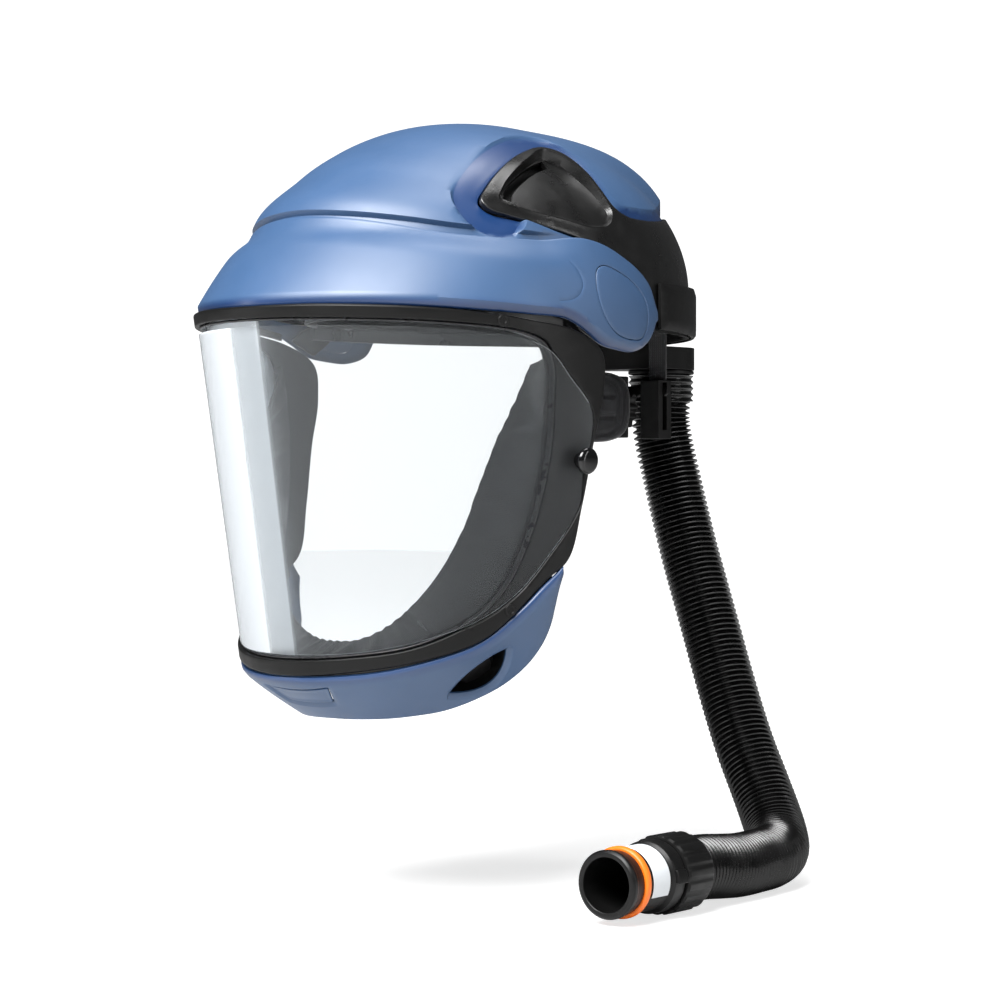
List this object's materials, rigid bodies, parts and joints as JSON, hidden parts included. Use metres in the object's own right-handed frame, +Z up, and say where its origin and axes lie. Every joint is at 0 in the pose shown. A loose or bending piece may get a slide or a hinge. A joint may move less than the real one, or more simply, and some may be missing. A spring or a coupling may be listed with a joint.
{
  "type": "powered air respirator headtop",
  "caption": "Helmet-style respirator headtop: tilting clear visor in a frame with chin guard, blue crown, head harness, and a breathing hose that ends in a bayonet connector.",
  "frame": {"origin": "on the middle plane, level with the visor's pivot axis, where the wearer's head carries the headtop", "axes": "+Z up, the face looks along -Y, +X is the wearer's left"},
  "size_m": [0.2698, 0.3351, 0.404],
  "materials": {
    "blue_shell": "satin metallic blue moulding",
    "black_satin": "satin black moulding",
    "black_matte": "fine-textured black moulding",
    "rubber_black": "semi-gloss black elastomer",
    "clear": "clear polycarbonate",
    "textile": "black woven textile",
    "steel": "turned steel",
    "pale_plastic": "pale grey plastic",
    "orange_rubber": "orange elastomer"
  },
  "bodies": {
    "headtop": {"crown_cover": "blue_shell", "rear_cover": "black_satin", "duct_liner": "black_matte", "air_diffuser": "black_matte", "plenum_plate": "black_matte", "rear_band": "black_satin", "pivot_pin_left": "steel", "pivot_pin_right": "steel", "friction_washer_left": "pale_plastic", "friction_washer_right": "pale_plastic", "headband": "black_matte", "sweatband": "textile", "crown_strap": "textile", "harness_clip_left": "black_matte", "harness_clip_right": "black_matte", "nape_strap_left": "textile", "nape_strap_right": "textile", "nape_clip_left": "black_matte", "nape_clip_right": "black_matte", "ratchet_housing": "black_matte", "nape_pad": "textile", "inlet_elbow": "black_matte", "inlet_socket": "black_matte", "hose_cuff": "rubber_black", "hose": "rubber_black", "connector_tail": "black_satin", "o_ring": "orange_rubber", "label_band": "pale_plastic"},
    "visor": {"brow_band": "blue_shell", "hinge_cap_left": "blue_shell", "hinge_cap_right": "blue_shell", "hinge_arm_left": "black_matte", "hinge_arm_right": "black_matte", "visor_frame": "black_matte", "visor_lens": "clear", "lens_seal": "rubber_black", "visor_film": "clear", "film_peg_left": "black_satin", "film_peg_right": "black_satin", "frame_screw_top_left": "black_matte", "frame_screw_top_right": "black_matte", "frame_screw_low_left": "black_matte", "frame_screw_low_right": "black_matte", "chin_guard": "blue_shell", "chin_badge": "blue_shell", "valve_seat_left": "black_matte", "valve_seat_right": "black_matte", "face_seal": "textile"},
    "left_flap": {"valve_flap_left": "rubber_black"},
    "right_flap": {"valve_flap_right": "rubber_black"},
    "ratchet": {"ratchet_pinion": "black_matte", "ratchet_knob": "black_satin"},
    "left_rack": {"nape_rack_left": "black_matte"},
    "right_rack": {"nape_rack_right": "black_matte"},
    "collar": {"lock_collar": "black_matte"}
  },
  "joints": [
    {"name": "visor_tilt", "type": "hinge", "parent": "headtop", "child": "visor", "pos_m": [0, 0, 0], "axis": [-1, 0, 0], "range_deg": [0, 70]},
    {"name": "left_flap_open", "type": "hinge", "parent": "visor", "child": "left_flap", "pos_m": [0.06668, -0.07282, -0.17779], "axis": [-0.5727, -0.712, -0.4063], "range_deg": [0, 16], "stiffness_Nm_per_rad": 0.002, "springref_deg": -11.46},
    {"name": "right_flap_open", "type": "hinge", "parent": "visor", "child": "right_flap", "pos_m": [-0.06668, -0.07282, -0.17779], "axis": [-0.5727, 0.712, 0.4063], "range_deg": [0, 16], "stiffness_Nm_per_rad": 0.002, "springref_deg": -11.46},
    {"name": "ratchet_turn", "type": "hinge", "parent": "headtop", "child": "ratchet", "pos_m": [0, 0.107, -0.05], "axis": [0, -1, 0], "range_deg": [0, 137]},
    {"name": "left_rack_slide", "type": "slide", "parent": "headtop", "child": "left_rack", "axis": [-1, 0, 0], "range_m": [0, 0.012]},
    {"name": "right_rack_slide", "type": "slide", "parent": "headtop", "child": "right_rack", "axis": [1, 0, 0], "range_m": [0, 0.012]},
    {"name": "collar_turn", "type": "hinge", "parent": "headtop", "child": "collar", "pos_m": [0.142, -0.058, -0.2862], "axis": [-0.0924, 0.9957, 0], "range_deg": [0, 40]}
  ],
  "couplings": [
    {"joint": "left_rack_slide", "follows": "ratchet_turn", "m_per_rad": 0.005},
    {"joint": "right_rack_slide", "follows": "ratchet_turn", "m_per_rad": 0.005}
  ]
}
